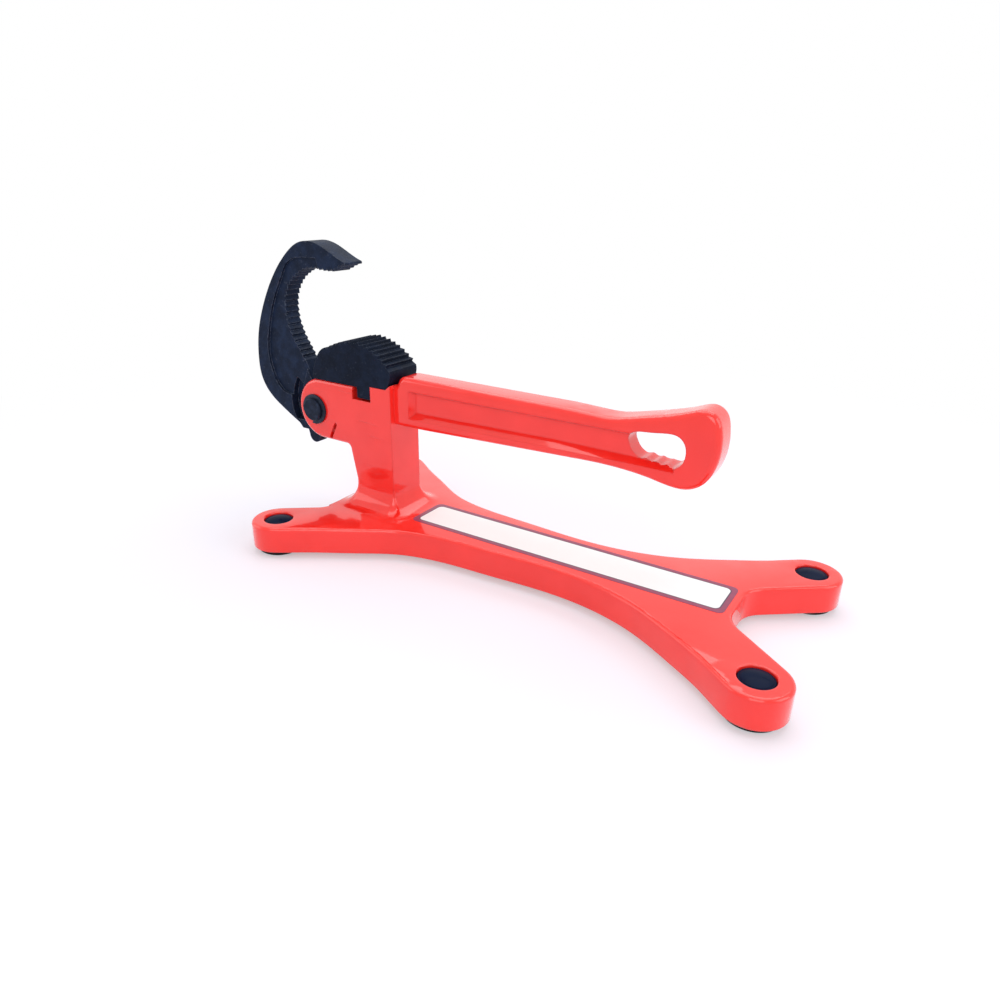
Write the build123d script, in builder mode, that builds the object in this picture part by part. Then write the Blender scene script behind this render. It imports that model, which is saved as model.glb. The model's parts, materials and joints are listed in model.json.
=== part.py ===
from build123d import *
import math
import os

os.makedirs("parts", exist_ok=True)

# All sizes in millimetres. Z = 0 is the floor, X runs from the jaws back along
# the handle and Y = 0 is the middle plane of the casting. Profiles count X from
# the front foot holes; origin_x moves them to the middle of the whole length.
origin_x = 99.9
base_plane = Plane(origin=(-origin_x, 0, 0), z_dir=(0, 0, 1))
side_plane = Plane(origin=(-origin_x, 0, 0), x_dir=(1, 0, 0), z_dir=(0, -1, 0))

# Base plate
foot_pitch = 240.0
front_half_track = 49.0
rear_half_track = 46.3
foot_radius = 13.3
leg_angle = 38.0
plate_thickness = 13.5
pad_height = 3.0
plate_bottom = pad_height
plate_top = plate_bottom + plate_thickness
plate_top_round = 1.6
plate_bottom_round = 0.8
front_notch_x = 9.4
rear_notch_x = foot_pitch - 19.8
front_notch_round = 9.0
rear_notch_round = 15.0
foot_hole_radius = 7.1
foot_hole_round = 0.7

# Edge of the waist, along as a share of the foot pitch and out as a share of the half track
waist_shares = [
    (0.086, 1.041), (0.168, 0.791), (0.248, 0.559), (0.304, 0.475), (0.367, 0.430),
    (0.450, 0.406), (0.529, 0.378), (0.588, 0.371), (0.642, 0.389), (0.698, 0.441),
    (0.754, 0.532), (0.810, 0.674), (0.867, 0.852), (0.919, 1.030),
]
waist_points = [
    (along * foot_pitch, out * (front_half_track + (rear_half_track - front_half_track) * along))
    for along, out in waist_shares
]

# Post and head
head_half_width = 10.7
head_edge_round = 2.2
post_right_x = 44.2
post_waist = (18.6, 30.0)
post_shoulder = (15.4, 45.0)
post_foot_x = 16.0
cheek_centre = (-3.6, 63.9)
cheek_radius = 16.0
cheek_top = cheek_centre[1] + cheek_radius
cheek_bottom = cheek_centre[1] - cheek_radius
armpit_radius = 2.6
key_left, key_right = 19.4, 31.4
key_floor = 73.3
shoulder_z = 81.2
shoulder_x = 41.3
post_foot_round = 11.6
post_foot_overlap = 3.0
post_edge_round = 1.0
shoulder_rise = 2.4

# Slot between the cheeks
slot_half_width = 6.3
slot_back = 9.6

# Pivot of the hook jaw
pivot = (-7.7, 63.5)
pin_radius = 6.0
running_clearance = 0.05
pin_overhang = 3.0
ring_gap = 0.1
ring_thickness = 1.0
ring_radius = 7.9
groove_radius = 5.2
ring_opening = 7.8
pin_chamfer = 0.6

# Handle
handle_half_width = 7.7
handle_edge_round = 2.8
handle_front = 43.0
handle_bottom = 62.9
handle_neck_points = [(45.4, 84.2), (47.0, 86.8), (50.5, 88.0)]
handle_top_left = (handle_front, 83.0)
handle_end_points = [
    (134.4, 88.0), (150.7, 87.5), (159.7, 87.5), (168.5, 89.1), (180.9, 92.1),
    (192.6, 95.7), (198.2, 97.1), (202.8, 94.8), (205.0, 89.4), (205.4, 79.4),
    (203.3, 71.5), (200.0, 66.5), (194.3, 63.3), (188.3, 62.9), (179.5, 64.3),
    (168.4, 65.7), (157.0, 66.2), (133.0, 65.6),
]
handle_low_point = (60.8, handle_bottom + 0.2)
hang_slot_points = [
    (167.3, 77.4), (167.5, 81.6), (169.8, 83.4), (177.4, 84.7), (184.8, 85.6),
    (189.0, 85.0), (191.7, 82.3), (192.5, 78.3), (191.5, 74.3), (188.9, 71.8),
    (186.3, 71.0), (184.2, 71.6), (182.1, 71.2), (179.9, 72.0), (177.6, 71.6),
    (175.4, 72.5), (173.1, 72.1), (170.4, 73.2),
]

# Channel in each side of the handle: its edge on the face and the edge of its floor
channel_depth = 3.4
channel_edge = [
    (53.0, 67.8), (53.0, 81.8), (168.0, 82.8), (176.0, 80.0),
    (188.5, 76.0), (188.5, 69.8), (168.0, 69.9), (133.0, 69.3),
]
channel_floor = [
    (55.0, 70.6), (55.0, 80.2), (166.6, 81.2), (176.0, 79.0),
    (187.0, 75.0), (187.0, 71.4), (168.0, 72.0), (133.0, 72.2),
]

# Heel jaw
heel_half_width = 10.4
heel_key_left, heel_key_right = 22.6, 30.9
heel_key_bottom = 74.5
heel_front_points = [(-7.7, cheek_top), (-7.4, 83.6), (-5.4, 88.8), (-2.4, 94.0), (2.5, 97.2)]
heel_tooth_path = [
    (2.5, 97.2), (9.7, 100.2), (16.3, 102.2), (22.1, 102.9), (26.9, 102.0),
    (31.2, 100.5), (34.9, 98.8), (38.9, 96.2), (42.4, 93.5), (44.2, 90.6),
]
heel_back_points = [(44.2, 90.6), (44.4, 88.0), (43.4, 84.6), (41.9, shoulder_z + 0.8)]
heel_seat_x = 41.0
heel_pitch = 3.3
heel_tooth_depth = 1.3

# Spring pin that keeps the heel jaw in its notch, driven in from the far side
heel_pin_radius = 2.0
heel_pin_bore = 0.9
heel_pin_reach = 12.0
heel_pin_recess = 1.0
heel_pin_slit = 0.5
heel_pin_at = ((heel_key_left + heel_key_right) / 2, key_floor - 0.2)

# Hook jaw
hook_half_width = 6.0
boss_radius = 13.0
tail_centre = (-17.6, 45.0)
tail_radius = 4.0
tail_half_width = 3.0
tail_top = 49.0
hook_heel = (-25.6, 51.6)
hook_heel_low = (-22.4, 47.9)
hook_heel_inside = (-22.6, 58.0)
hook_back_points = [
    hook_heel, (-30.8, 54.3), (-36.6, 57.6), (-44.0, 62.3), (-49.6, 67.8),
    (-52.8, 74.4), (-53.6, 83.0), (-51.8, 97.0), (-45.6, 113.0), (-35.6, 129.1),
    (-31.1, 134.5), (-26.9, 138.7), (-21.1, 143.4), (-15.8, 146.2), (-8.5, 147.3),
    (-1.0, 145.8), (7.7, 141.8), (14.6, 138.9),
]
hook_tip_points = [(14.6, 138.9), (15.5, 138.2), (15.2, 137.4)]
hook_tooth_path = [
    (15.2, 137.4), (11.5, 136.1), (7.7, 134.0), (2.0, 133.8), (-6.0, 134.3),
    (-12.0, 133.9), (-17.3, 131.7), (-22.5, 128.4), (-26.6, 123.6),
    (-29.0, 118.4), (-29.8, 112.0), (-28.8, 105.0), (-26.0, 98.6),
    (-22.0, 92.6), (-18.4, 87.0),
]
hook_neck_points = [(-18.4, 87.0), (-15.6, 81.6), (-12.8, 75.4), pivot, hook_heel]
web_rim_points = [
    (-4.2, 139.6), (-12.0, 139.4), (-19.8, 138.5), (-25.4, 135.6), (-29.7, 129.6),
    (-37.6, 116.0), (-43.0, 101.5), (-45.4, 88.0), (-43.8, 78.6), (-41.4, 73.0),
    (-37.6, 68.6), (-33.8, 67.0), (-28.6, 66.8),
]
web_throat_points = [
    (-28.6, 66.8), (-22.6, 67.4), (-14.0, 88.0), (-26.0, 106.0),
    (-20.0, 126.0), (-2.0, 130.0), (-4.2, 139.6),
]
hook_pitch = 3.0
hook_tooth_depth = 1.1
web_recess = 1.4

# Spring
wire_radius = 0.7
coil_radius = 7.3
coil_turns = 2
coil_pitch = 1.5
spring_clearance = 0.1
slit_low, slit_high = (2.6, 50.0), (6.2, 57.3)
slit_width = 1.8
spring_arm_length = 19.5
spring_bend = 1.5
hook_closing = -14.0
pocket_radius = coil_radius + wire_radius + 0.5
arm_pocket_radius = 22.4
arm_pocket_from, arm_pocket_to = 143.0, 207.0
anchor_pocket_radius = 14.5
anchor_pocket_from, anchor_pocket_to = -124.0, -14.0

# Rubber feet and plugs
pad_radius = 11.0
spigot_radius = foot_hole_radius - running_clearance
spigot_height = 5.0
plug_rise = 0.2
plug_dome = 1.5
pad_round = 0.8

# Label
label_left = 0.235 * foot_pitch
label_right = 0.905 * foot_pitch
label_width = 24.7
label_thickness = 0.15
label_corner = 3.0

feet = [
    (0.0, -front_half_track), (0.0, front_half_track),
    (foot_pitch, -rear_half_track), (foot_pitch, rear_half_track),
]


def sawtooth(path, pitch, depth):
    """Points of a row of teeth cut into the closed side of a guide path."""
    lengths = [0.0]
    for a, b in zip(path, path[1:]):
        lengths.append(lengths[-1] + math.dist(a, b))
    count = max(1, round(lengths[-1] / pitch))

    def at(distance):
        for i in range(len(path) - 1):
            if distance <= lengths[i + 1] or i == len(path) - 2:
                t = (distance - lengths[i]) / (lengths[i + 1] - lengths[i])
                ax, az = path[i]
                bx, bz = path[i + 1]
                span = lengths[i + 1] - lengths[i]
                return (
                    ax + (bx - ax) * t,
                    az + (bz - az) * t,
                    (bz - az) / span,
                    -(bx - ax) / span,
                )

    points = []
    for k in range(count):
        x, z, _, _ = at(lengths[-1] * k / count)
        points.append((x, z))
        x, z, nx, nz = at(lengths[-1] * (k + 0.25) / count)
        points.append((x + nx * depth, z + nz * depth))
    points.append(path[-1])
    return points


# Course of the spring wire, as seen from the near side: out of the slit, straight
# to the bottom of the coil, round it, and straight on under the hook
anchor = ((slit_low[0] + slit_high[0]) / 2, (slit_low[1] + slit_high[1]) / 2)
slit_slope = math.degrees(math.atan2(slit_high[1] - slit_low[1], slit_high[0] - slit_low[0]))
anchor_y = -(slot_half_width + head_half_width) / 2
coil_outer_y = -(hook_half_width - wire_radius - spring_clearance)
coil_inner_y = coil_outer_y + coil_turns * coil_pitch
coil_floor_y = coil_inner_y + wire_radius + spring_clearance
arm_floor_y = coil_outer_y + wire_radius + spring_clearance
anchor_reach = math.dist(anchor, pivot)
anchor_bearing = math.atan2(anchor[1] - pivot[1], anchor[0] - pivot[0])
coil_start = anchor_bearing - math.acos(coil_radius / anchor_reach)


def around_pivot(radius, angle, y):
    """Point at a radius and angle round the pivot, in the part's own frame."""
    return (
        pivot[0] - origin_x + radius * math.cos(angle),
        y,
        pivot[1] + radius * math.sin(angle),
    )


def around_profile(radius, degrees):
    """Point at a radius and angle round the pivot, in a profile's own frame."""
    angle = math.radians(degrees)
    return (pivot[0] + radius * math.cos(angle), pivot[1] + radius * math.sin(angle))


# Frame casting: base plate, post, cheeks and handle in one piece
leg_cos = math.cos(math.radians(leg_angle))
leg_sin = math.sin(math.radians(leg_angle))


def half_plate(side):
    """Outline points and arcs of one half of the base, side being +1 or -1."""
    front_in = (-foot_radius * leg_sin, side * (front_half_track - foot_radius * leg_cos))
    front_out = (foot_radius * 0.54, side * (front_half_track + foot_radius * 0.84))
    rear_out = (foot_pitch - foot_radius * 0.56, side * (rear_half_track + foot_radius * 0.83))
    rear_in = (foot_pitch + foot_radius * leg_sin, side * (rear_half_track - foot_radius * leg_cos))
    front_corner = side * (abs(front_in[1]) - (front_notch_x - front_in[0]) * math.tan(math.radians(leg_angle)))
    rear_corner = side * (abs(rear_in[1]) - (rear_in[0] - rear_notch_x) * math.tan(math.radians(leg_angle)))
    Line((front_notch_x, 0), (front_notch_x, front_corner))
    Line((front_notch_x, front_corner), front_in)
    ThreePointArc(
        front_in,
        (-foot_radius * 0.9, side * (front_half_track + foot_radius * 0.436)),
        front_out,
    )
    outer = [front_out] + [(x, side * y) for x, y in waist_points] + [rear_out]
    Spline(*outer, tangents=[(0.84, -side * 0.54), (0.83, side * 0.56)])
    ThreePointArc(
        rear_out,
        (foot_pitch + foot_radius * 0.9, side * (rear_half_track + foot_radius * 0.436)),
        rear_in,
    )
    Line(rear_in, (rear_notch_x, rear_corner))
    Line((rear_notch_x, rear_corner), (rear_notch_x, 0))


with BuildPart(base_plane) as plate:
    with BuildSketch(base_plane.offset(plate_bottom)) as plate_outline:
        with BuildLine():
            half_plate(1)
            half_plate(-1)
        make_face()
        fillet(
            plate_outline.vertices().filter_by(
                lambda v: abs(v.X - front_notch_x) < 0.01 and abs(v.Y) > 1
            ),
            front_notch_round,
        )
        fillet(
            plate_outline.vertices().filter_by(
                lambda v: abs(v.X - rear_notch_x) < 0.01 and abs(v.Y) > 1
            ),
            rear_notch_round,
        )
    extrude(amount=plate_thickness)
    fillet(plate.edges().group_by(Axis.Z)[-1], plate_top_round)
    fillet(plate.edges().group_by(Axis.Z)[0], plate_bottom_round)

with BuildPart(base_plane) as head:
    with BuildSketch(side_plane) as head_profile:
        with BuildLine():
            Line((post_foot_x, plate_bottom + 2), (post_foot_x, plate_top))
            TangentArc(
                post_waist,
                (post_foot_x, plate_top),
                tangent=(post_waist[0] - post_shoulder[0], post_waist[1] - post_shoulder[1]),
            )
            Line(post_waist, post_shoulder)
            Line(post_shoulder, (post_shoulder[0], cheek_bottom))
            Line((post_shoulder[0], cheek_bottom), (cheek_centre[0], cheek_bottom))
            ThreePointArc(
                (cheek_centre[0], cheek_bottom),
                (cheek_centre[0] - cheek_radius, cheek_centre[1]),
                (cheek_centre[0], cheek_top),
            )
            Polyline(
                (cheek_centre[0], cheek_top),
                (key_left, cheek_top),
                (key_left, key_floor),
                (key_right, key_floor),
                (key_right, shoulder_z),
                (shoulder_x, shoulder_z),
                (post_right_x, shoulder_z + shoulder_rise),
                (post_right_x, plate_bottom + 2),
                (post_foot_x, plate_bottom + 2),
            )
        make_face()
        fillet(
            head_profile.vertices().filter_by(
                lambda v: abs(v.X - post_shoulder[0]) < 0.01 and abs(v.Y - cheek_bottom) < 0.01
            ),
            armpit_radius,
        )
    extrude(amount=head_half_width, both=True)
    rim = head.edges().filter_by(
        lambda e: abs(abs(e.center().Y) - head_half_width) < 0.01
        and e.center().X + origin_x < key_left - 0.1
        and e.center().Z > plate_top
    )
    fillet(rim, head_edge_round)

with BuildPart(base_plane) as handle:
    with BuildSketch(side_plane) as handle_profile:
        with BuildLine():
            Line((handle_front, handle_bottom), handle_top_left)
            Line(handle_top_left, handle_neck_points[0])
            Spline(*handle_neck_points, tangents=[(0.9, 0.5), (1, 0)])
            Line(handle_neck_points[-1], handle_end_points[0])
            Spline(*handle_end_points, tangents=[(1, 0), (-1, -0.03)])
            Line(handle_end_points[-1], handle_low_point)
            Line(handle_low_point, (handle_front, handle_bottom))
        make_face()
    extrude(amount=handle_half_width, both=True)
    fillet(
        handle.edges().filter_by(
            lambda e: abs(abs(e.center().Y) - handle_half_width) < 0.01
            and e.center().X + origin_x > handle_front + 1
        ),
        handle_edge_round,
    )
    with BuildSketch(side_plane) as hang_slot:
        with BuildLine():
            Spline(*hang_slot_points, periodic=True)
        make_face()
    extrude(amount=head_half_width, both=True, mode=Mode.SUBTRACT)
    for side in (-1, 1):
        with BuildSketch(side_plane.offset(-side * handle_half_width)) as channel_mouth:
            Polygon(*channel_edge, align=None)
        with BuildSketch(side_plane.offset(-side * (handle_half_width - channel_depth))) as channel_bed:
            Polygon(*channel_floor, align=None)
        loft(sections=[channel_mouth.sketch, channel_bed.sketch], ruled=True, mode=Mode.SUBTRACT)

# Cove between the post and the plate
with BuildPart(base_plane) as post_foot:
    block_left = post_waist[0]
    block_centre = (block_left + post_right_x) / 2
    block_length = post_right_x - block_left
    with Locations((block_centre, 0, plate_top)):
        Box(
            block_length + 2 * post_foot_round + 0.4,
            2 * (head_half_width + post_foot_round) + 0.4,
            2.0,
            align=(Align.CENTER, Align.CENTER, Align.MAX),
        )
        Box(
            block_length,
            2 * head_half_width,
            post_foot_round + post_foot_overlap,
            align=(Align.CENTER, Align.CENTER, Align.MIN),
        )
    uprights = post_foot.edges().filter_by(Axis.Z).filter_by(
        lambda e: e.center().Z > plate_top and abs(abs(e.center().Y) - head_half_width) < 0.01
    )
    fillet(uprights.sort_by(Axis.X)[:2], head_edge_round)
    uprights = post_foot.edges().filter_by(Axis.Z).filter_by(
        lambda e: e.center().Z > plate_top
        and abs(e.center().X + origin_x - post_right_x) < 0.01
    )
    fillet(uprights, post_edge_round)
    fillet(
        post_foot.edges().filter_by(
            lambda e: abs(e.center().Z - plate_top) < 0.01
            and abs(e.center().Y) < head_half_width + 0.1
            and block_left - 0.1 < e.center().X + origin_x < post_right_x + 0.1
        ),
        post_foot_round,
    )
    with BuildSketch(base_plane.offset(plate_bottom)):
        add(plate_outline.sketch_local)
    extrude(amount=shoulder_z, mode=Mode.INTERSECT)

with BuildPart() as frame_casting:
    add(plate.part)
    add(head.part)
    add(post_foot.part)
    add(handle.part)
    with BuildSketch(side_plane) as cheek_slot:
        with Locations(((slot_back - 40.0) / 2, 62.0)):
            Rectangle(slot_back + 40.0, 44.0)
    extrude(amount=slot_half_width, both=True, mode=Mode.SUBTRACT)
    with BuildSketch(side_plane) as pin_hole:
        with Locations(pivot):
            Circle(pin_radius + running_clearance)
    extrude(amount=head_half_width + 1, both=True, mode=Mode.SUBTRACT)
    with BuildSketch(side_plane.offset(-head_half_width)) as heel_pin_hole:
        with Locations(heel_pin_at):
            Circle(heel_pin_radius)
    extrude(amount=heel_pin_reach + heel_pin_recess, mode=Mode.SUBTRACT)
    with BuildSketch(side_plane.offset(slot_half_width - 0.5)) as spring_slit:
        with Locations(Location((anchor[0], anchor[1], 0), (0, 0, slit_slope))):
            SlotCenterToCenter(math.dist(slit_low, slit_high), slit_width)
    extrude(amount=head_half_width, mode=Mode.SUBTRACT)
    with Locations(*[(x - origin_x, y, plate_bottom) for x, y in feet]):
        Cylinder(
            foot_hole_radius,
            plate_thickness,
            align=(Align.CENTER, Align.CENTER, Align.MIN),
            mode=Mode.SUBTRACT,
        )
    fillet(
        frame_casting.edges().filter_by(GeomType.CIRCLE).filter_by(
            lambda e: abs(e.center().Z - plate_top) < 0.01 and abs(e.radius - foot_hole_radius) < 0.01
        ),
        foot_hole_round,
    )

frame_casting.part.label = "frame_casting"
export_step(frame_casting.part, "parts/frame_casting.step")

# Heel jaw, keyed into the notch of the head
with BuildPart(base_plane) as heel_jaw:
    with BuildSketch(side_plane) as heel_profile:
        with BuildLine():
            Spline(*heel_front_points)
            Polyline(*sawtooth(heel_tooth_path, heel_pitch, heel_tooth_depth))
            Spline(*heel_back_points)
            Line(heel_back_points[-1], (heel_seat_x, shoulder_z))
            Polyline(
                (heel_seat_x, shoulder_z),
                (heel_key_right, shoulder_z),
                (heel_key_right, heel_key_bottom),
                (heel_key_left, heel_key_bottom),
                (heel_key_left, cheek_top),
                heel_front_points[0],
            )
        make_face()
    extrude(amount=heel_half_width, both=True)

    with BuildSketch(side_plane.offset(-head_half_width)) as heel_groove:
        with Locations(heel_pin_at):
            Circle(heel_pin_radius)
    extrude(amount=heel_pin_reach + heel_pin_recess, mode=Mode.SUBTRACT)

heel_jaw.part.label = "heel_jaw"
export_step(heel_jaw.part, "parts/heel_jaw.step")

with BuildPart(base_plane) as heel_pin:
    with BuildSketch(side_plane.offset(heel_pin_recess - head_half_width)) as heel_pin_section:
        with Locations(heel_pin_at):
            Circle(heel_pin_radius)
            Circle(heel_pin_bore, mode=Mode.SUBTRACT)
            with Locations((0, heel_pin_radius / 2)):
                Rectangle(heel_pin_slit, heel_pin_radius * 1.4, mode=Mode.SUBTRACT)
    extrude(amount=heel_pin_reach)

heel_pin.part.label = "heel_pin"
export_step(heel_pin.part, "parts/heel_pin.step")

# Hook jaw, swinging between the cheeks
with BuildPart(base_plane) as hook_jaw:
    with BuildSketch(side_plane) as hook_profile:
        with BuildLine():
            Spline(*hook_back_points)
            Spline(*hook_tip_points)
            Polyline(*sawtooth(hook_tooth_path, hook_pitch, hook_tooth_depth))
            Polyline(*hook_neck_points)
        make_face()
        with Locations(pivot):
            Circle(boss_radius)
        with Locations(tail_centre):
            Circle(tail_radius)
        with BuildLine():
            Polyline(
                (tail_centre[0] - tail_radius, tail_centre[1]),
                (tail_centre[0] + tail_radius, tail_centre[1]),
                pivot,
                hook_heel_inside,
                hook_heel,
                hook_heel_low,
                (tail_centre[0] - tail_radius, tail_centre[1]),
            )
        make_face()
    extrude(amount=hook_half_width, both=True)
    for side in (-1, 1):
        with BuildSketch(side_plane.offset(-side * (hook_half_width - web_recess))) as web:
            with BuildLine():
                Spline(*web_rim_points)
                Polyline(*web_throat_points)
            make_face()
        extrude(amount=-side * 2 * web_recess, mode=Mode.SUBTRACT)
        with BuildSketch(side_plane.offset(-side * tail_half_width)) as tail_side:
            with Locations((pivot[0], tail_top - boss_radius)):
                Rectangle(4 * boss_radius, 2 * boss_radius)
        extrude(amount=-side * hook_half_width, mode=Mode.SUBTRACT)
    with BuildSketch(side_plane.offset(-coil_floor_y)) as spring_pocket:
        with Locations(pivot):
            Circle(pocket_radius)
        with BuildLine():
            ThreePointArc(
                around_profile(arm_pocket_radius, arm_pocket_from),
                around_profile(arm_pocket_radius, (arm_pocket_from + arm_pocket_to) / 2),
                around_profile(arm_pocket_radius, arm_pocket_to),
            )
            Polyline(
                around_profile(arm_pocket_radius, arm_pocket_to),
                around_profile(pocket_radius, math.degrees(coil_start) - hook_closing),
                pivot,
                around_profile(arm_pocket_radius, arm_pocket_from),
            )
        make_face()
    extrude(amount=hook_half_width, mode=Mode.SUBTRACT)
    with BuildSketch(side_plane.offset(-arm_floor_y)) as anchor_pocket:
        with BuildLine():
            ThreePointArc(
                around_profile(anchor_pocket_radius, anchor_pocket_from),
                around_profile(anchor_pocket_radius, (anchor_pocket_from + anchor_pocket_to) / 2),
                around_profile(anchor_pocket_radius, anchor_pocket_to),
            )
            Polyline(
                around_profile(anchor_pocket_radius, anchor_pocket_to),
                pivot,
                around_profile(anchor_pocket_radius, anchor_pocket_from),
            )
        make_face()
    extrude(amount=hook_half_width, mode=Mode.SUBTRACT)
    with BuildSketch(side_plane) as hook_bore:
        with Locations(pivot):
            Circle(pin_radius + running_clearance)
    extrude(amount=hook_half_width + 1, both=True, mode=Mode.SUBTRACT)

hook_jaw.part.label = "hook_jaw"
export_step(hook_jaw.part, "parts/hook_jaw.step")

# Pivot pin with a ring groove at each end
ring_inner = head_half_width + ring_gap
pin_half_length = head_half_width + pin_overhang
with BuildPart(base_plane) as pivot_pin:
    with BuildSketch(side_plane) as pin_section:
        with Locations(pivot):
            Circle(pin_radius)
    extrude(amount=pin_half_length, both=True)
    chamfer(
        pivot_pin.edges().filter_by(GeomType.CIRCLE).filter_by(
            lambda e: abs(abs(e.center().Y) - pin_half_length) < 0.01
        ),
        pin_chamfer,
    )
    for side in (-1, 1):
        with BuildSketch(side_plane.offset(-side * (ring_inner - running_clearance))):
            with Locations(pivot):
                Circle(pin_radius + 1)
                Circle(groove_radius, mode=Mode.SUBTRACT)
        extrude(amount=-side * (ring_thickness + 2 * running_clearance), mode=Mode.SUBTRACT)

pivot_pin.part.label = "pivot_pin"
export_step(pivot_pin.part, "parts/pivot_pin.step")

# Retaining rings
for name, side in (("retaining_ring_near", -1), ("retaining_ring_far", 1)):
    with BuildPart(base_plane) as ring:
        with BuildSketch(side_plane.offset(-side * ring_inner)) as ring_outline:
            with Locations(pivot):
                Circle(ring_radius)
                Circle(groove_radius + running_clearance, mode=Mode.SUBTRACT)
            with Locations(Location((pivot[0], pivot[1], 0), (0, 0, 225))):
                with Locations((ring_radius / 2, 0)):
                    Rectangle(ring_radius + 1, ring_opening, mode=Mode.SUBTRACT)
        extrude(amount=-side * ring_thickness)
    ring.part.label = name
    export_step(ring.part, "parts/" + name + ".step")


# Return spring, wound round the pin: each half turn is a circle's arc tipped by
# half a pitch, so that every arc runs on into the next
along_arm = (math.sin(coil_start), 0, -math.cos(coil_start))
anchor_x = anchor[0] - origin_x
coil_first = around_pivot(coil_radius, coil_start, coil_outer_y)
bend_low = (anchor_x, coil_outer_y - spring_bend, anchor[1])
bend_high = (
    anchor_x + along_arm[0] * spring_bend,
    coil_outer_y,
    anchor[1] + along_arm[2] * spring_bend,
)
with BuildPart() as return_spring:
    with BuildLine() as course:
        Line((anchor_x, anchor_y, anchor[1]), bend_low)
        TangentArc(bend_low, bend_high, tangent=(0, 1, 0))
        Line(bend_high, coil_first)
        for half_turn in range(2 * coil_turns):
            turned = coil_start - half_turn * math.pi
            y = coil_outer_y + half_turn * coil_pitch / 2
            ThreePointArc(
                around_pivot(coil_radius, turned, y),
                around_pivot(
                    math.hypot(coil_radius, coil_pitch / 4),
                    turned - math.pi / 2,
                    y + coil_pitch / 4,
                ),
                around_pivot(coil_radius, turned - math.pi, y + coil_pitch / 2),
            )
        coil_last = around_pivot(coil_radius, coil_start, coil_inner_y)
        Line(
            coil_last,
            (
                coil_last[0] + along_arm[0] * spring_arm_length,
                coil_inner_y,
                coil_last[2] + along_arm[2] * spring_arm_length,
            ),
        )
    with BuildSketch(Plane(origin=course.line @ 0, z_dir=course.line % 0)) as wire:
        Circle(wire_radius)
    sweep()

return_spring.part.label = "return_spring"
export_step(return_spring.part, "parts/return_spring.step")

# Rubber feet under the four legs and plugs in the bolt holes above them
for name, (x, y) in zip(("front_near", "front_far", "rear_near", "rear_far"), feet):
    with BuildPart(base_plane) as foot_pad:
        with Locations((x, y, 0)):
            Cylinder(pad_radius, pad_height, align=(Align.CENTER, Align.CENTER, Align.MIN))
        fillet(foot_pad.edges().group_by(Axis.Z)[0], pad_round)
        with Locations((x, y, pad_height)):
            Cylinder(spigot_radius, spigot_height, align=(Align.CENTER, Align.CENTER, Align.MIN))
    foot_pad.part.label = "foot_pad_" + name
    export_step(foot_pad.part, "parts/foot_pad_" + name + ".step")

    plug_base = plate_bottom + spigot_height
    plug_side = plate_top + plug_rise - plug_dome - plug_base
    dome_radius = (spigot_radius ** 2 + plug_dome ** 2) / (2 * plug_dome)
    with BuildPart(base_plane) as hole_plug:
        with Locations((x, y, plug_base)):
            Cylinder(
                spigot_radius,
                plug_side + plug_dome,
                align=(Align.CENTER, Align.CENTER, Align.MIN),
            )
        with Locations((x, y, plug_base + plug_side + plug_dome - dome_radius)):
            Sphere(dome_radius, mode=Mode.INTERSECT)
    hole_plug.part.label = "hole_plug_" + name
    export_step(hole_plug.part, "parts/hole_plug_" + name + ".step")

# Label on the waist of the plate
with BuildPart(base_plane) as label:
    with BuildSketch(base_plane.offset(plate_top)):
        with Locations(((label_left + label_right) / 2, 0)):
            RectangleRounded(label_right - label_left, label_width, label_corner)
    extrude(amount=label_thickness)

label.part.label = "label"
export_step(label.part, "parts/label.step")
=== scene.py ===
"""Looks of a cast pipe vise, built round its packed construction model.

The file is laid out as an add-on and run as a script.
"""

import json
import math

import bpy
import numpy as np
from mathutils import Matrix, Vector


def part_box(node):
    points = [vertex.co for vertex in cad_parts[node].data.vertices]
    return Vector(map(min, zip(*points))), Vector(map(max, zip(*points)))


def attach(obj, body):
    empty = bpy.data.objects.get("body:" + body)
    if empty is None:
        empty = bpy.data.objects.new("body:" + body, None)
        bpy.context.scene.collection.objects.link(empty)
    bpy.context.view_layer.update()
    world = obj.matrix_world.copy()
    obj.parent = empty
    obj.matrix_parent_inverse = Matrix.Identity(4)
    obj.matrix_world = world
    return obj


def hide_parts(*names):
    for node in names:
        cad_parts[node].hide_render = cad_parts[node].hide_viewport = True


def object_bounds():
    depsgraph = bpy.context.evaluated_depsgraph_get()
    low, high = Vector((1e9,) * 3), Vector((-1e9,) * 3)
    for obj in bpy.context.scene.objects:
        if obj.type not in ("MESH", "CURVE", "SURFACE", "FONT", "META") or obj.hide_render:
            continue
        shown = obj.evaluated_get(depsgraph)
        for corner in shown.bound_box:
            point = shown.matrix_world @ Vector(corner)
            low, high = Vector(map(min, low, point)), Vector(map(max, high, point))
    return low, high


bl_info = {
    "name": "Pipe vise looks",
    "version": (1, 0, 0),
    "blender": (4, 5, 0),
    "location": "View3D > Sidebar > Pipe Vise",
    "description": "Finishes and small parts of a four-legged pipe vise",
    "category": "Object",
}

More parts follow.
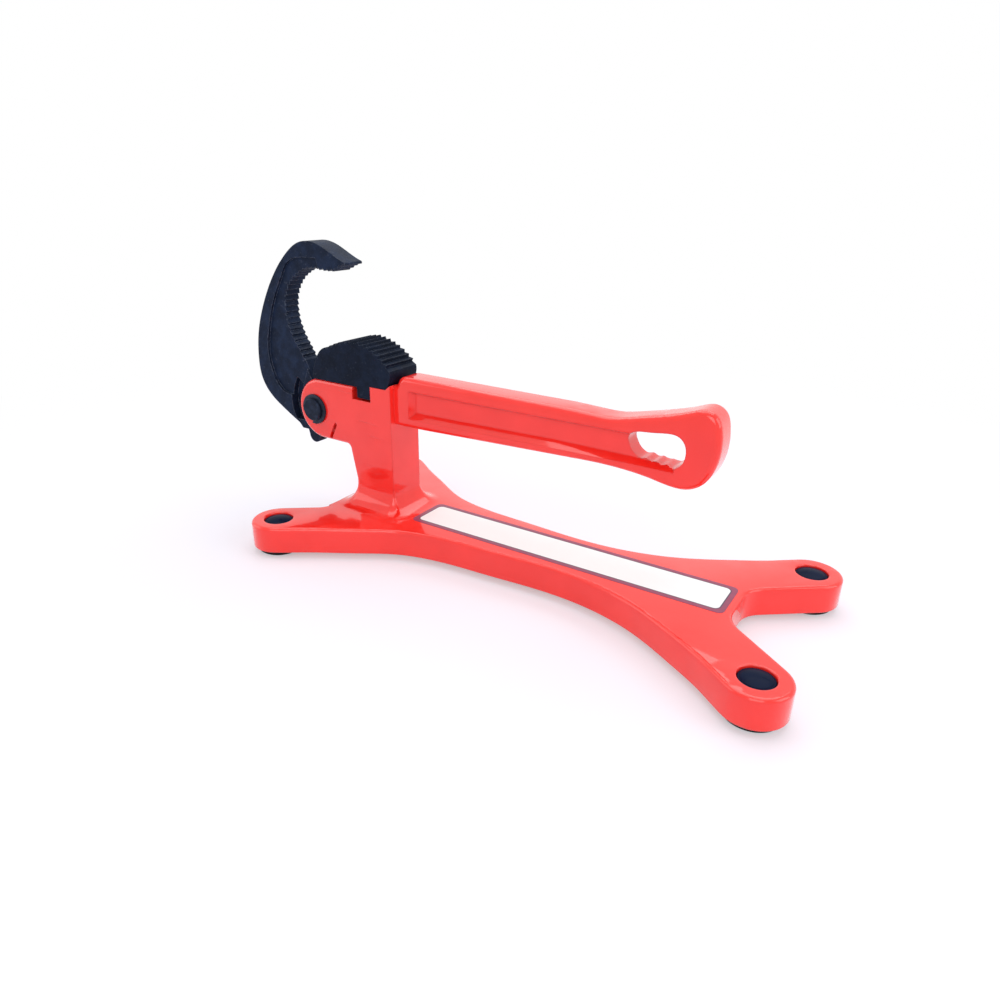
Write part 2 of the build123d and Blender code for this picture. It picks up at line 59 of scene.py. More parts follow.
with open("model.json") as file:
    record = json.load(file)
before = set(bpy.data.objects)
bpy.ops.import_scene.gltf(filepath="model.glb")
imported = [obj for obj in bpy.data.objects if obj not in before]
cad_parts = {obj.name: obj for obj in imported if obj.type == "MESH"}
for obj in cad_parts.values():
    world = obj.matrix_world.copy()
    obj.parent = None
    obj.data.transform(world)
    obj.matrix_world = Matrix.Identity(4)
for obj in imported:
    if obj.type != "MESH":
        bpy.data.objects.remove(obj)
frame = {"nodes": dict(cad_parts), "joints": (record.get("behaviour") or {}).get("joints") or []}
CAD_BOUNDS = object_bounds()
NODES = frame["nodes"]
HINGE = next(j for j in frame["joints"] if j["name"] == "hook_swing")
PIVOT = Vector(HINGE["pos_m"])
FEET = ("front_near", "front_far", "rear_near", "rear_far")
MM = 0.001

# Construction nodes: vertices nearer than this are one, and creases are sharper than this
WELD_GAP = 0.004 * MM
CREASE = math.radians(30)

# Marks that the mould left on the post and the cheeks, from (x, z) to (x, z) with their widths
CAST_MARKS = (
    ((-92.0 * MM, 76.5 * MM), (-79.0 * MM, 75.4 * MM), 0.5 * MM),
    ((-79.5 * MM, 62.6 * MM), (-63.0 * MM, 61.6 * MM), 0.45 * MM),
    ((-72.5 * MM, 55.6 * MM), (-58.5 * MM, 54.4 * MM), 0.7 * MM),
    ((-76.0 * MM, 38.2 * MM), (-62.5 * MM, 37.0 * MM), 2.4 * MM),
)

# Return spring: the wire, its two turns and the ends of its arms
WIRE_RADIUS = 0.69 * MM
COIL_RADIUS = 7.3 * MM
COIL_TURNS = 2
COIL_OUTER_Y = -5.2 * MM
COIL_RISE = 3.0 * MM
COIL_STEP = 0.9
ANCHOR = Vector((-95.5, -8.4, 53.65)) * MM
ARM_LENGTH = 19.4 * MM
ARM_BEND = 1.5 * MM

# Hole plugs: height and radius of curvature of the dome, in millimetres
DOME_TOP = 16.68
DOME_CURVE = 19.0

# Label: round of its corners, and how far each ring of its sheet lies in and up
LABEL_CORNER = 3.0 * MM
SHEET_INSETS = (0.0, 0.0, 0.05 * MM, 0.3 * MM, 1.5 * MM, 3.0 * MM)
SHEET_LIFTS = (0.0, 0.09 * MM, 0.14 * MM, 0.15 * MM, 0.15 * MM, 0.15 * MM)

# Stage: lamps by name, place, size and power, then the room, the floor and the camera
LAMPS = (
    ("top", (-0.1, 0.35, 1.1), 1.3, 10.2),
    ("front", (0.5, -1.1, 0.75), 0.9, 6.1),
    ("left", (-1.0, -0.5, 0.5), 0.7, 2.0),
    ("right", (1.0, 0.1, 0.5), 0.7, 3.0),
)
LAMP_AIM = Vector((0, 0, 0.06))
ROOM_LIGHT = 0.47
FLOOR_REACH = 6.0
FLOOR_GAP = 0.02 * MM
FLOOR_GLOW = 0.38
CAMERA_PLACE = Vector((176.9, -278.5, 175.7)) * MM
CAMERA_HEADING = math.radians(-32.1)
CAMERA_TILT = math.radians(23.29)
CAMERA_ROLL = math.radians(1.13)
CAMERA_LENS = 26.62


def middle(node):
    """Centre of a construction node's box."""
    low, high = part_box(node)
    return (low + high) / 2


def box_size(node):
    """Lengths of a construction node's box."""
    low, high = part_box(node)
    return high - low


def rgb(*numbers):
    """A colour with full opacity."""
    return (*numbers, 1.0)


def scaled(colour, by):
    """The same colour, darker or lighter."""
    return [part * by for part in colour]


class Value:
    """A number inside a shader. Python's operators add Math nodes to it."""

    def __init__(self, shader, socket):
        self.shader = shader
        self.socket = socket

    def _maths(self, operation, first, second=0.0):
        return self.shader.value("ShaderNodeMath", {"operation": operation}, {0: first, 1: second})

    def __add__(self, other):
        return self._maths("ADD", self, other)

    __radd__ = __add__

    def __sub__(self, other):
        return self._maths("SUBTRACT", self, other)

    def __rsub__(self, other):
        return self._maths("SUBTRACT", other, self)

    def __mul__(self, other):
        return self._maths("MULTIPLY", self, other)

    __rmul__ = __mul__

    def __truediv__(self, other):
        return self._maths("DIVIDE", self, other)

    def __rtruediv__(self, other):
        return self._maths("DIVIDE", other, self)

    def __abs__(self):
        return self._maths("ABSOLUTE", self)

    def __pow__(self, other):
        return self._maths("POWER", self, other)

    def at_least(self, other):
        """The larger of the two."""
        return self._maths("MAXIMUM", self, other)

    def at_most(self, other):
        """The smaller of the two."""
        return self._maths("MINIMUM", self, other)

    def sine(self):
        """Its sine, in radians."""
        return self._maths("SINE", self)

    def ramp(self, low, high):
        """0 below low, 1 above high, with a smooth rise between."""
        return self.shader.value(
            "ShaderNodeMapRange",
            {"interpolation_type": "SMOOTHSTEP"},
            {"Value": self, "From Min": low, "From Max": high},
        )


class Shader:
    """A node tree, and the one way in which nodes are added to it."""

    def __init__(self, tree):
        self.tree = tree

    def node(self, kind, settings=None, inputs=None):
        """Any node, its settings set first and then its sockets' values or links."""
        made = self.tree.nodes.new(kind)
        for key, setting in (settings or {}).items():
            setattr(made, key, setting)
        for key, given in (inputs or {}).items():
            self.feed(made.inputs[key], given)
        return made

    def value(self, kind, settings=None, inputs=None, output=0):
        """The number that a new node gives."""
        return Value(self, self.node(kind, settings, inputs).outputs[output])

    def feed(self, socket, given):
        """Links a socket to what is given, or sets it where that is a plain number or colour."""
        if isinstance(given, Value):
            given = given.socket
        if isinstance(given, bpy.types.NodeSocket):
            self.tree.links.new(given, socket)
        else:
            socket.default_value = given

    def seen_directly(self):
        """1 for what the camera sees itself, in a mirror or through glass."""
        rays = self.node("ShaderNodeLightPath").outputs
        seen = Value(self, rays["Is Camera Ray"])
        for kind in ("Is Glossy Ray", "Is Transmission Ray"):
            seen = seen.at_least(Value(self, rays[kind]))
        return seen


class Finish(Shader):
    """One material with its Principled shader, patterned on Object coordinates."""

    def __init__(self, name, **constants):
        self.material = bpy.data.materials.new(name)
        self.material.use_nodes = True
        super().__init__(self.material.node_tree)
        self.surface = self.tree.nodes["Principled BSDF"]
        self.place = self.node("ShaderNodeTexCoord").outputs["Object"]
        for socket, setting in constants.items():
            self.set(socket.replace("_", " "), setting)

    def set(self, socket, given):
        """Feeds a socket of the Principled shader."""
        self.feed(self.surface.inputs[socket], given)

    def noise(self, size, detail=3.0, roughness=0.5, distortion=0.0):
        """Cloudy pattern from 0 to 1 whose lumps are about size metres across."""
        moved = self.node(
            "ShaderNodeMapping", None, {"Vector": self.place, "Scale": (1 / size, 1 / size, 1 / size)}
        )
        return self.value(
            "ShaderNodeTexNoise",
            None,
            {
                "Vector": moved.outputs[0],
                "Scale": 1.0,
                "Detail": detail,
                "Roughness": roughness,
                "Distortion": distortion,
            },
        )

    def axes(self):
        """The X, Y and Z of the place on the surface."""
        split = self.node("ShaderNodeSeparateXYZ", None, {"Vector": self.place})
        return [Value(self, split.outputs[i]) for i in range(3)]

    def blend(self, amount, first, second):
        """One colour where amount is 0 and the other where it is 1."""
        inputs = {0: amount, 6: first, 7: second}
        return self.node("ShaderNodeMix", {"data_type": "RGBA"}, inputs).outputs[2]

    def eased(self, radius):
        """The surface's normal with its sharp edges and corners eased by a radius."""
        return self.node("ShaderNodeBevel", {"samples": 4}, {"Radius": radius}).outputs[0]

    def edge_mask(self, radius):
        """1 along sharp edges and 0 on open faces, from how far easing turns the normal."""
        flat = self.node("ShaderNodeNewGeometry").outputs["Normal"]
        turned = {0: self.eased(radius), 1: flat}
        same = self.value("ShaderNodeVectorMath", {"operation": "DOT_PRODUCT"}, turned, "Value")
        return (1 - same).ramp(0.01, 0.16)

    def groove(self, low, high, width):
        """1 in a shallow mark on the side faces that runs from (x, z) low to high.

        With the mark's run (a, b), across is |(z - low z) a - (x - low x) b| over the
        run's length, and ahead is the share of the run that a point has gone along.
        """
        x, _, z = self.axes()
        along, rise = high[0] - low[0], high[1] - low[1]
        reach = math.hypot(along, rise)
        across = abs((z - low[1]) * (along / reach) - (x - low[0]) * (rise / reach))
        ahead = ((x - low[0]) * along + (z - low[1]) * rise) / (reach * reach)
        ends = ahead.ramp(0.0, 0.25) * (1 - ahead.ramp(0.7, 1.0))
        return (1 - across.ramp(0.0, width)) * ends

    def relief(self, height, depth, strength=1.0, easing=None):
        """Bumps of the given depth in metres, laid on the surface's normal."""
        inputs = {"Height": height, "Distance": depth, "Strength": strength}
        if easing:
            inputs["Normal"] = self.eased(easing)
        self.set("Normal", self.node("ShaderNodeBump", None, inputs).outputs[0])


def red_paint(colour, easing):
    """Thick gloss enamel over a sand casting, with the mould's flow marks under it."""
    f = Finish("red_enamel", Coat_Roughness=0.04, Coat_IOR=1.55, Specular_IOR_Level=0.12)
    pooled = f.noise(22 * MM, 2.0).ramp(0.35, 0.7)
    deep = rgb(colour[0] * 0.86, colour[1] * 0.55, colour[2] * 0.5)
    f.set("Base Color", f.blend(pooled * 0.45, rgb(*colour), deep))
    f.set("Roughness", 0.16 + f.noise(9 * MM, 2.0) * 0.12)
    f.set("Coat Weight", 0.8 + f.noise(30 * MM, 1.0) * 0.2)
    sand = f.noise(5 * MM, 3.0, 0.55)
    peel = f.noise(1.3 * MM, 1.0)
    waves = f.noise(14 * MM, 1.0)
    marks = 0.0
    for low, high, width in CAST_MARKS:
        marks = f.groove(low, high, width) + marks
    f.relief(sand * 0.5 + peel * 0.08 + waves * 1.2 - marks * 1.1, 0.4 * MM, 0.55, easing)
    return f.material


def oxide(name, colour, worn, wear, easing):
    """Blackened forging: mottled blue-black, rubbed along its edges, with a fine scale."""
    f = Finish(name, Coat_Weight=0.02, Coat_Roughness=0.25, Specular_IOR_Level=0.05)
    cloud = f.noise(7 * MM, 4.0, 0.6).ramp(0.35, 0.72)
    speck = f.noise(0.9 * MM, 2.0, 0.7).ramp(0.64, 0.78)
    spots = f.noise(3.2 * MM, 5.0, 0.7, 0.6).ramp(0.6, 0.74)
    edges = f.edge_mask(easing) * f.noise(2.2 * MM, 3.0, 0.6).ramp(0.3, 0.6)
    rubbed = (spots * 0.5 * wear + speck * wear * 0.5 + edges * wear).at_most(1.0)
    dark = f.blend(cloud, rgb(*colour), rgb(*scaled(colour, 1.9)))
    f.set("Base Color", f.blend(rubbed, dark, rgb(*worn)))
    f.set("Metallic", rubbed * 0.5)
    f.set("Roughness", 0.44 - rubbed * 0.1 + cloud * 0.1)
    f.relief(f.noise(1.6 * MM, 4.0, 0.65) + cloud * 0.5, 0.14 * MM, 0.8, easing)
    return f.material


def turned_steel(name, colour):
    """Blackened steel with faint lathe rings: a sine of the distance from the pivot's axis."""
    f = Finish(name, Metallic=0.3, Specular_IOR_Level=0.08)
    x, _, z = f.axes()
    radius = ((x - PIVOT.x) ** 2 + (z - PIVOT.z) ** 2) ** 0.5
    rings = (radius * (2 * math.pi / (0.45 * MM))).sine()
    stain = f.noise(2.5 * MM, 4.0, 0.6).ramp(0.4, 0.7)
    f.set("Base Color", f.blend(stain, rgb(*colour), rgb(*scaled(colour, 1.8))))
    f.set("Roughness", 0.36 + stain * 0.12)
    f.relief(rings * 0.3 + stain, 0.03 * MM, 0.6)
    return f.material


def rubber(name, colour):
    """Moulded black rubber with a fine matt grain."""
    f = Finish(name, Specular_IOR_Level=0.08)
    dusty = f.noise(6 * MM, 3.0).ramp(0.5, 0.8)
    f.set("Base Color", f.blend(dusty * 0.4, rgb(*colour), rgb(*scaled(colour, 2.4))))
    f.set("Roughness", 0.62 + dusty * 0.15)
    f.relief(f.noise(0.5 * MM, 2.0), 0.05 * MM, 0.6)
    return f.material


def moulded_plastic(name, colour):
    """Dark plastic with slight sink marks."""
    f = Finish(name, Coat_Weight=0.03, Coat_Roughness=0.1, Specular_IOR_Level=0.02)
    tint = f.noise(5 * MM, 2.0)
    f.set("Base Color", f.blend(tint, rgb(*colour), rgb(*scaled(colour, 1.5))))
    f.set("Roughness", 0.24 + tint * 0.1)
    f.relief(f.noise(4 * MM, 1.0) + f.noise(0.6 * MM, 1.0) * 0.1, 0.1 * MM, 0.6)
    return f.material


def printed_label(white, band, line, band_width, line_width):
    """White vinyl with a coloured band and a thin line round its bare, rounded panel."""
    f = Finish("label_vinyl_print", Coat_Weight=0.15, Coat_Roughness=0.12, Specular_IOR_Level=0.3)
    centre = middle("label")
    half = box_size("label") / 2
    x, y, _ = f.axes()
    across, up = abs(x - centre.x), abs(y - centre.y)
    soft = 0.1 * MM

    def inside(inset, corner):
        """1 within a rounded rectangle that lies inset from the label's edge."""
        over_x = (across - (half.x - inset - corner)).at_least(0.0)
        over_y = (up - (half.y - inset - corner)).at_least(0.0)
        return 1 - ((over_x ** 2 + over_y ** 2) ** 0.5).ramp(corner - soft, corner + soft)

    outer = f.blend(f.noise(3 * MM, 2.0), rgb(*band), rgb(*scaled(band, 1.3)))
    lined = f.blend(inside(band_width, LABEL_CORNER), outer, rgb(*line))
    panel = inside(band_width + line_width, LABEL_CORNER - line_width)
    paper = f.blend(f.noise(18 * MM, 2.0), rgb(*white), rgb(*scaled(white, 0.94)))
    f.set("Base Color", f.blend(panel, lined, paper))
    f.set("Roughness", 0.28 + f.noise(12 * MM, 2.0) * 0.1)
    f.relief(f.noise(9 * MM, 2.0), 0.08 * MM, 0.4)
    return f.material


def dress(node, material):
    """Gives a construction node its finish, smooth but for its creases."""
    piece = NODES[node]
    piece.data.materials.clear()
    piece.data.materials.append(material)
    piece.data.polygons.foreach_set("use_smooth", np.ones(len(piece.data.polygons), bool))
    weld = piece.modifiers.new("weld", "WELD")
    weld.merge_threshold = WELD_GAP
    split = piece.modifiers.new("creases", "EDGE_SPLIT")
    split.split_angle = CREASE


def grid_mesh(name, points, closed=True):
    """A mesh from a grid of points, rows along it and columns across it.

    A closed grid joins its last column to its first, and its end rows are capped.
    Face (row, column) runs over (r, c), (r, c + 1), (r + 1, c + 1) and (r + 1, c).
    """
    rows, columns = points.shape[:2]
    r, c = np.meshgrid(np.arange(rows - 1), np.arange(columns if closed else columns - 1), indexing="ij")
    here, beside = r * columns + c, r * columns + (c + 1) % columns
    faces = np.stack([here, beside, beside + columns, here + columns], -1).reshape(-1, 4).tolist()
    if closed:
        faces.append(list(range(columns))[::-1])
        faces.append([(rows - 1) * columns + i for i in range(columns)])
    mesh = bpy.data.meshes.new(name)
    mesh.from_pydata(points.reshape(-1, 3), [], faces)
    mesh.polygons.foreach_set("use_smooth", np.ones(len(mesh.polygons), bool))
    mesh.validate()
    mesh.update()
    piece = bpy.data.objects.new(name, mesh)
    bpy.context.scene.collection.objects.link(piece)
    return piece


def lathe(name, profile, centre, steps=64):
    """Turns a profile of (radius, height) about Z: x = r cos t, y = r sin t, z = height.

    The profile runs up the outside, and its two ends are closed by flat caps.
    """
    r, h = np.asarray(profile, float).T
    t = np.linspace(0, 2 * np.pi, steps, endpoint=False)
    height = np.repeat(h[:, None], steps, 1)
    points = np.stack([r[:, None] * np.cos(t), r[:, None] * np.sin(t), height], -1)
    return grid_mesh(name, points + np.asarray(centre))


def rounded_profile(corners, bends, steps=5):
    """A profile through the corners, each replaced by a quadratic curve of its bend's length.

    With start and stop a bend away from the corner on its two sides, the curve is
    (1 - t) squared start + 2 t (1 - t) corner + t squared stop.
    """
    corners = np.asarray(corners, float)
    t = np.linspace(0, 1, steps)[:, None]
    out = [corners[0]]
    for before, here, after, bend in zip(corners, corners[1:], corners[2:], bends):
        start = here + (before - here) * min(0.48, bend / np.linalg.norm(before - here))
        stop = here + (after - here) * min(0.48, bend / np.linalg.norm(after - here))
        out.extend((1 - t) ** 2 * start + 2 * t * (1 - t) * here + t ** 2 * stop)
    out.append(corners[-1])
    return np.array(out)


def tube(name, path, radius, steps=14):
    """A round wire: each point p of the path gets a circle square to the path there.

    The circle is p + radius (first cos t + second sin t). First starts as a fixed slant
    and is turned square to the path from point to point, so the tube doesn't twist, and
    second is the cross product of the path's direction and first.
    """
    path = np.asarray(path, float)
    ahead = np.gradient(path, axis=0)
    ahead /= np.linalg.norm(ahead, axis=1, keepdims=True)
    first = np.zeros_like(path)
    side = np.array([0.37, 0.13, 0.92])
    for i in range(len(path)):
        side = side - ahead[i] * (side @ ahead[i])
        side /= np.linalg.norm(side)
        first[i] = side
    second = np.cross(ahead, first)
    t = np.linspace(0, 2 * np.pi, steps, endpoint=False)[None, :, None]
    points = path[:, None] + radius * (first[:, None] * np.cos(t) + second[:, None] * np.sin(t))
    return grid_mesh(name, points)


def finish_piece(piece, material, node):
    """Gives a new piece its material, puts it on the frame's body and hides the node that it stands for.
    """
    piece.data.materials.append(material)
    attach(piece, "frame")
    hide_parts(node)


def spring_path():
    """Wire of the return spring: in from the slit, two turns, and out under the hook.

    The coil is x = r cos a, z = r sin a round the pivot. Its rise along y is the share s
    of the turns less 0.9 sin(w s) / w, w being the turns in radians, so it gathers in one
    half of each turn. Both arms are the straight lines that touch the coil where it ends.
    """
    away = np.array([ANCHOR.x - PIVOT.x, ANCHOR.z - PIVOT.z])
    start = math.atan2(away[1], away[0]) - math.acos(COIL_RADIUS / np.hypot(*away))
    share = np.linspace(0, 1, 97)
    whole = 2 * np.pi * COIL_TURNS
    angle = start - share * whole
    rise = share - COIL_STEP * np.sin(whole * share) / whole
    x = PIVOT.x + COIL_RADIUS * np.cos(angle)
    z = PIVOT.z + COIL_RADIUS * np.sin(angle)
    coil = np.stack([x, COIL_OUTER_Y + COIL_RISE * rise, z], -1)
    along = np.array([math.sin(start), 0, -math.cos(start)])
    corner = np.array([ANCHOR.x, COIL_OUTER_Y, ANCHOR.z])
    quarter = np.linspace(0, np.pi / 2, 9)[:, None]
    inward = np.array([0, 1, 0])
    bend = corner + ARM_BEND * ((1 - np.cos(quarter)) * along - (1 - np.sin(quarter)) * inward)
    end = np.array(ANCHOR)
    foot = np.array([end, end + inward * 0.6 * MM])
    first_arm = bend[-1] + (coil[0] - bend[-1]) * np.linspace(0.1, 0.95, 8)[:, None]
    last_arm = coil[-1] + along * ARM_LENGTH * np.linspace(0.05, 1, 12)[:, None]
    return np.concatenate([foot, bend, first_arm, coil, last_arm])


def pad_profile():
    """Outline of a foot pad: treaded sole, rounded side, and the stem that grips the hole."""
    sole = [(1.2, 0.5), (3.0, 0.5), (3.5, 0.0), (5.3, 0.0), (5.8, 0.5), (6.8, 0.5), (7.3, 0.0)]
    side = [(9.7, 0.0), (11.0, 0.9), (11.0, 2.6), (10.6, 3.0)]
    stem = [(7.0, 3.0), (7.0, 8.0)]
    bends = [0.2] * 8 + [0.7, 0.3, 0.2]
    return rounded_profile(sole + side + stem, bends) * MM


def plug_profile():
    """Outline of a hole plug: its skirt, a rolled rim, and a dome z = top - r squared / (2 R)."""
    r = np.linspace(5.9, 0.25, 14)
    dome = DOME_TOP - r ** 2 / (2 * DOME_CURVE)
    corners = [(6.95, 8.0), (6.95, 15.2), (6.5, 15.62), (6.05, 15.5), (5.9, dome[0])]
    rim = rounded_profile(corners, [0.3, 0.3, 0.2], 6)
    return np.concatenate([rim[:-1], np.stack([r, dome], -1)]) * MM


def label_sheet():
    """The label's sheet: a rounded rectangle's outline shrunk towards its middle line.

    A point of the outline is corner centre + r (cos t, sin t), and each ring is the
    outline moved in by its inset and up by its lift.
    """
    low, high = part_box("label")
    centre, half = (low + high) / 2, (high - low) / 2
    t = np.linspace(0, 2 * np.pi, 96, endpoint=False)
    round_by = np.stack([np.cos(t), np.sin(t)], -1)
    corner = np.sign(round_by + 1e-9) * (np.array([half.x, half.y]) - LABEL_CORNER)
    radius = np.maximum(LABEL_CORNER - np.array(SHEET_INSETS), 0)
    flat = corner + radius[:, None, None] * round_by + np.array([centre.x, centre.y])
    height = np.broadcast_to((low.z + np.array(SHEET_LIFTS))[:, None, None], (*flat.shape[:2], 1))
    return grid_mesh("label_sheet", np.concatenate([flat, height], -1))


class ViseSettings(bpy.types.PropertyGroup):
    """Colours and sizes of the looks."""

    paint: bpy.props.FloatVectorProperty(
        name="Paint", description="Enamel on the casting", subtype="COLOR", default=(0.92, 0.024, 0.016)
    )
    oxide: bpy.props.FloatVectorProperty(
        name="Oxide", description="Blackened jaws", subtype="COLOR", default=(0.0062, 0.0108, 0.024)
    )
    worn: bpy.props.FloatVectorProperty(
        name="Worn oxide", description="Rubbed spots on the jaws", subtype="COLOR",
        default=(0.11, 0.125, 0.165),
    )
    pin: bpy.props.FloatVectorProperty(
        name="Pin", description="Blackened pivot pin", subtype="COLOR", default=(0.011, 0.016, 0.03)
    )
    ring: bpy.props.FloatVectorProperty(
        name="Rings", description="Blackened retaining rings", subtype="COLOR",
        default=(0.024, 0.03, 0.045),
    )
    dowel: bpy.props.FloatVectorProperty(
        name="Heel pin", description="Spring pin of the heel jaw", subtype="COLOR",
        default=(0.05, 0.05, 0.055),
    )
    wire: bpy.props.FloatVectorProperty(
        name="Spring wire", description="Oiled spring wire", subtype="COLOR",
        default=(0.05, 0.052, 0.056),
    )
    worn_wire: bpy.props.FloatVectorProperty(
        name="Worn wire", description="Rubbed spots on the spring", subtype="COLOR",
        default=(0.3, 0.3, 0.31),
    )
    rubber: bpy.props.FloatVectorProperty(
        name="Rubber", description="Foot pads", subtype="COLOR", default=(0.01, 0.01, 0.012)
    )
    plastic: bpy.props.FloatVectorProperty(
        name="Plastic", description="Hole plugs", subtype="COLOR", default=(0.005, 0.009, 0.026)
    )
    label_white: bpy.props.FloatVectorProperty(
        name="Label", description="Panel of the label", subtype="COLOR", default=(0.9, 0.9, 0.9)
    )
    label_band: bpy.props.FloatVectorProperty(
        name="Label band", description="Band round the label", subtype="COLOR",
        default=(0.23, 0.035, 0.085),
    )
    label_line: bpy.props.FloatVectorProperty(
        name="Label line", description="Thin line round the panel", subtype="COLOR",
        default=(0.035, 0.03, 0.07),
    )
    band_width: bpy.props.FloatProperty(
        name="Band width", description="Width of the label's band", subtype="DISTANCE", unit="LENGTH",
        default=2.2 * MM,
    )
    line_width: bpy.props.FloatProperty(
        name="Line width", description="Width of the thin line", subtype="DISTANCE", unit="LENGTH",
        default=0.5 * MM,
    )
    cast_easing: bpy.props.FloatProperty(
        name="Cast easing", description="Roundness of the casting's edges", subtype="DISTANCE",
        unit="LENGTH", default=1.1 * MM,
    )
    jaw_easing: bpy.props.FloatProperty(
        name="Jaw easing", description="Roundness of the jaws' edges", subtype="DISTANCE",
        unit="LENGTH", default=0.45 * MM,
    )


class VISE_OT_casting(bpy.types.Operator):
    """Paints the frame casting"""

    bl_idname = "vise.casting"
    bl_label = "Frame casting"

    def execute(self, context):
        s = context.scene.vise_looks
        dress("frame_casting", red_paint(s.paint, s.cast_easing))
        return {"FINISHED"}


class VISE_OT_jaws(bpy.types.Operator):
    """Blackens the hook jaw and the heel jaw"""

    bl_idname = "vise.jaws"
    bl_label = "Jaws"

    def execute(self, context):
        s = context.scene.vise_looks
        # One oxide in a lit and a shaded copy: the hook's is lightened as a painted highlight, and the
        # heel's is darkened as painted shade.
        painted_highlight_oxide, painted_shade_oxide = scaled(s.oxide, 1.2), scaled(s.oxide, 0.7)
        round_edges, sharp_edges = s.jaw_easing * 1.6, s.jaw_easing * 0.6
        dress("hook_jaw", oxide("hook_oxide_painted_highlight", painted_highlight_oxide, s.worn, 0.8, round_edges))
        dress("heel_jaw", oxide("heel_oxide_painted_shade", painted_shade_oxide, s.worn, 0.55, sharp_edges))
        return {"FINISHED"}


class VISE_OT_pivot(bpy.types.Operator):
    """Finishes the pivot pin, its rings, the heel pin and the return spring"""

    bl_idname = "vise.pivot"
    bl_label = "Pivot hardware"

    def execute(self, context):
        s = context.scene.vise_looks
        dress("pivot_pin", turned_steel("pin_black", s.pin))
        ring = turned_steel("ring_black", s.ring)
        dress("retaining_ring_near", ring)
        dress("retaining_ring_far", ring)
        dress("heel_pin", turned_steel("dowel_black", s.dowel))
        wire = oxide("spring_wire", s.wire, s.worn_wire, 0.4, 0.1 * MM)
        coil = tube("spring_coil", spring_path(), WIRE_RADIUS)
        finish_piece(coil, wire, "return_spring")
        return {"FINISHED"}


class VISE_OT_feet(bpy.types.Operator):
    """Turns the rubber pads and the domed plugs of the bolt holes"""

    bl_idname = "vise.feet"
    bl_label = "Feet and plugs"

    def execute(self, context):
        s = context.scene.vise_looks
        pad_finish = rubber("pad_rubber_black", s.rubber)
        plug_finish = moulded_plastic("plug_black", s.plastic)
        for place in FEET:
            at = middle("foot_pad_" + place)
            centre = (at.x, at.y, 0.0)
            pad = lathe("pad_" + place, pad_profile(), centre)
            finish_piece(pad, pad_finish, "foot_pad_" + place)
            plug = lathe("plug_" + place, plug_profile(), centre)
            finish_piece(plug, plug_finish, "hole_plug_" + place)
        return {"FINISHED"}


class VISE_OT_label(bpy.types.Operator):
    """Prints the bare label on the waist of the base"""

    bl_idname = "vise.label"
    bl_label = "Label"

    def execute(self, context):
        s = context.scene.vise_looks
        vinyl = printed_label(s.label_white, s.label_band, s.label_line, s.band_width, s.line_width)
        finish_piece(label_sheet(), vinyl, "label")
        return {"FINISHED"}


class VISE_OT_stage(bpy.types.Operator):
    """Sets the floor, the lamps, the room and the camera"""

    bl_idname = "vise.stage"
    bl_label = "Stage"

    def execute(self, context):
        scene = context.scene
        scene.view_settings.view_transform = "Standard"
        floor()
        room(scene)
        for name, place, size, power in LAMPS:
            lamp(name, place, size, power)
        camera(scene)
        return {"FINISHED"}


def floor():
    """A wide square just under the feet that shows white and keeps the vise's shadow."""
    side = np.array([-FLOOR_REACH, FLOOR_REACH])
    y, x = np.meshgrid(side, side, indexing="ij")
    points = np.stack([x, y, np.full_like(x, CAD_BOUNDS[0].z - FLOOR_GAP)], -1)
    piece = grid_mesh("floor", points, closed=False)
    f = Finish("floor_white", Roughness=0.9, Specular_IOR_Level=0.1)
    f.set("Base Color", f.blend(f.noise(0.4, 2.0), rgb(0.85, 0.83, 0.93), rgb(0.87, 0.85, 0.95)))
    x, y, _ = f.axes()
    far = ((x * x + y * y) ** 0.5).ramp(0.18, 0.5)
    glow = f.node("ShaderNodeEmission", None, {"Color": rgb(1, 1, 1), "Strength": 1.0})
    share = f.seen_directly() * (FLOOR_GLOW + far * (1 - FLOOR_GLOW))
    inputs = {0: share, 1: f.surface.outputs[0], 2: glow.outputs[0]}
    mixed = f.node("ShaderNodeMixShader", None, inputs)
    f.feed(f.tree.nodes["Material Output"].inputs["Surface"], mixed.outputs[0])
    piece.data.materials.append(f.material)


def room(scene):
    """Even white surroundings: a soft grey light, seen as white."""
    scene.world = bpy.data.worlds.new("white_room")
    scene.world.use_nodes = True
    shader = Shader(scene.world.node_tree)
    back = shader.tree.nodes["Background"]
    shader.feed(back.inputs["Color"], rgb(1, 1, 1))
    shader.feed(back.inputs["Strength"], ROOM_LIGHT + shader.seen_directly() * (1 - ROOM_LIGHT))


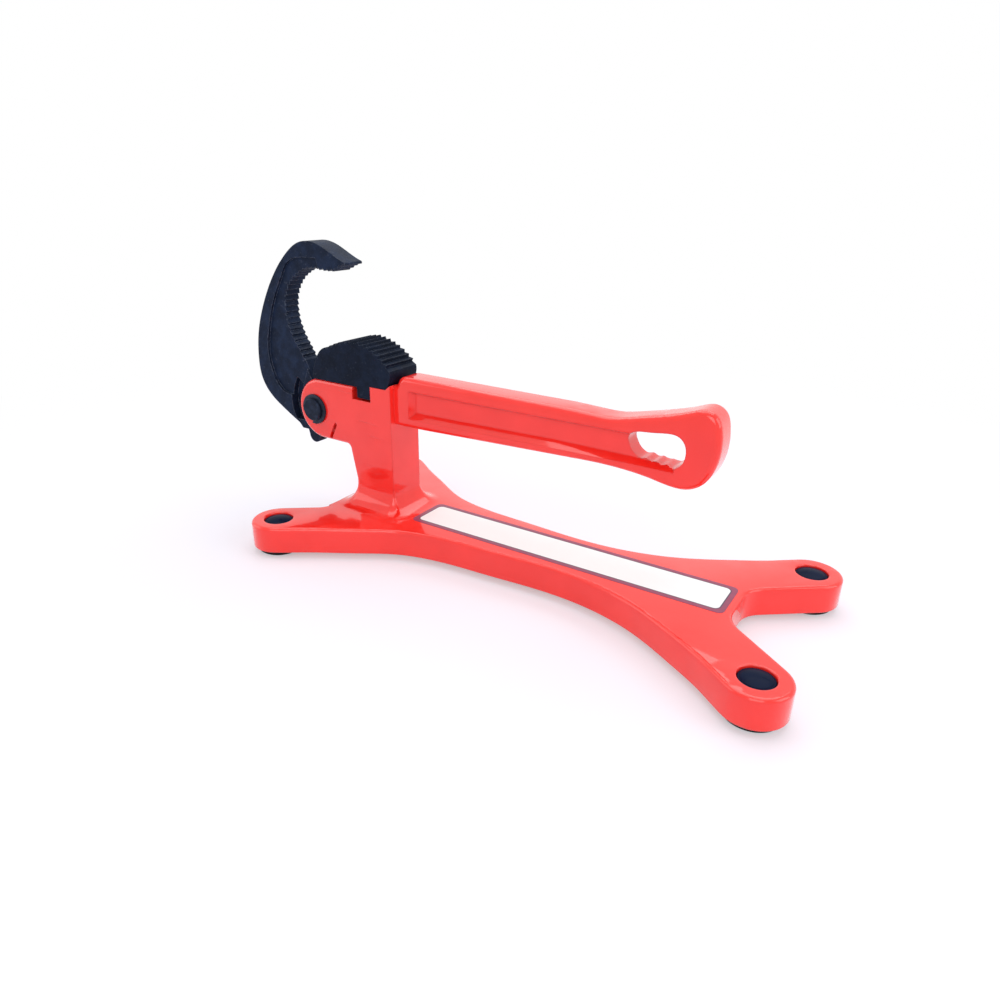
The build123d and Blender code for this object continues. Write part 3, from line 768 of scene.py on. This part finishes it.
def lamp(name, place, size, power):
    """A square soft lamp that faces the middle of the vise."""
    data = bpy.data.lights.new(name, "AREA")
    data.energy = power
    data.size = size
    holder = bpy.data.objects.new(name, data)
    holder.location = place
    holder.rotation_euler = (LAMP_AIM - holder.location).to_track_quat("-Z", "Y").to_euler()
    bpy.context.scene.collection.objects.link(holder)


def camera(scene):
    """The photograph's view: turned left by the heading, tipped down and rolled a little."""
    heading, tilt, roll = CAMERA_HEADING, CAMERA_TILT, CAMERA_ROLL
    look = Vector(
        (math.cos(tilt) * math.sin(heading), math.cos(tilt) * math.cos(heading), -math.sin(tilt))
    )
    level = Vector((math.cos(heading), -math.sin(heading), 0))
    over = level.cross(look)
    right = level * math.cos(roll) + over * math.sin(roll)
    up = over * math.cos(roll) - level * math.sin(roll)
    data = bpy.data.cameras.new("camera")
    data.lens = CAMERA_LENS
    data.sensor_width = 36.0
    data.sensor_fit = "HORIZONTAL"
    data.clip_start = 0.01
    holder = bpy.data.objects.new("camera", data)
    turn = Matrix((right, up, -look)).transposed().to_4x4()
    holder.matrix_world = Matrix.Translation(CAMERA_PLACE) @ turn
    scene.collection.objects.link(holder)
    scene.camera = holder


STEPS = (VISE_OT_stage, VISE_OT_casting, VISE_OT_jaws, VISE_OT_pivot, VISE_OT_feet, VISE_OT_label)


class VISE_PT_panel(bpy.types.Panel):
    """Lists the sizes and colours and a button for each piece"""

    bl_label = "Pipe Vise"
    bl_idname = "VISE_PT_panel"
    bl_space_type = "VIEW_3D"
    bl_region_type = "UI"
    bl_category = "Pipe Vise"

    def draw(self, context):
        for name in ViseSettings.__annotations__:
            self.layout.prop(context.scene.vise_looks, name)
        for step in STEPS:
            self.layout.operator(step.bl_idname)


CLASSES = (ViseSettings, *STEPS, VISE_PT_panel)


def register():
    """Registers the classes and gives the scene its settings."""
    for cls in CLASSES:
        bpy.utils.register_class(cls)
    bpy.types.Scene.vise_looks = bpy.props.PointerProperty(type=ViseSettings)


def unregister():
    """Takes back what register did."""
    del bpy.types.Scene.vise_looks
    for cls in reversed(CLASSES):
        bpy.utils.unregister_class(cls)


def main():
    """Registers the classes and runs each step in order."""
    register()
    for step in STEPS:
        group, action = step.bl_idname.split(".")
        getattr(getattr(bpy.ops, group), action)()


if __name__ == "__main__":
    main()
